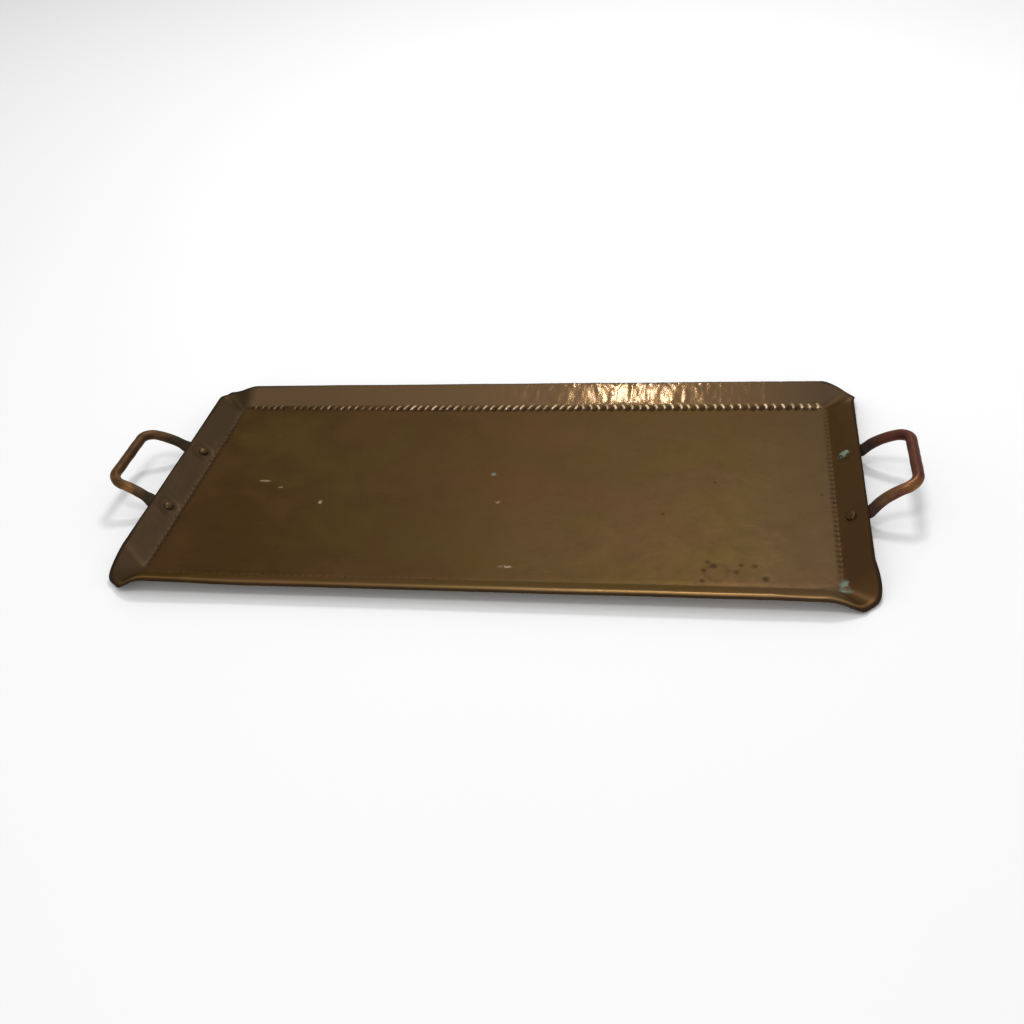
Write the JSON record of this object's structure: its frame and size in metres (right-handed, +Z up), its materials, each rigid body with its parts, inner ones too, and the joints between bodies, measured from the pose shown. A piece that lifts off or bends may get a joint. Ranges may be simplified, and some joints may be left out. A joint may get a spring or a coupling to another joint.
{
  "type": "hammered metal tray",
  "caption": "Rectangular hammered copper serving tray with sloped walls, low rounded corner lips and a riveted D-shaped rod handle at each end.",
  "frame": {"origin": "under the centre of the floor's flat underside", "axes": "+X along the tray's length towards the right-hand handle, +Y towards the back long wall, +Z up out of the tray"},
  "size_m": [0.7582, 0.3286, 0.0433],
  "materials": {
    "tray_metal": "hammered copper with a dark brown patina",
    "handle_metal": "forged copper rod, red-brown patina, worn where it is held",
    "rivet_metal": "hammered copper rivet, dark, with a little verdigris"
  },
  "bodies": {
    "root": {"tray_pan": "tray_metal", "handle_left": "handle_metal", "handle_right": "handle_metal", "rivet_left_front": "rivet_metal", "rivet_left_back": "rivet_metal", "rivet_right_front": "rivet_metal", "rivet_right_back": "rivet_metal"}
  },
  "joints": []
}
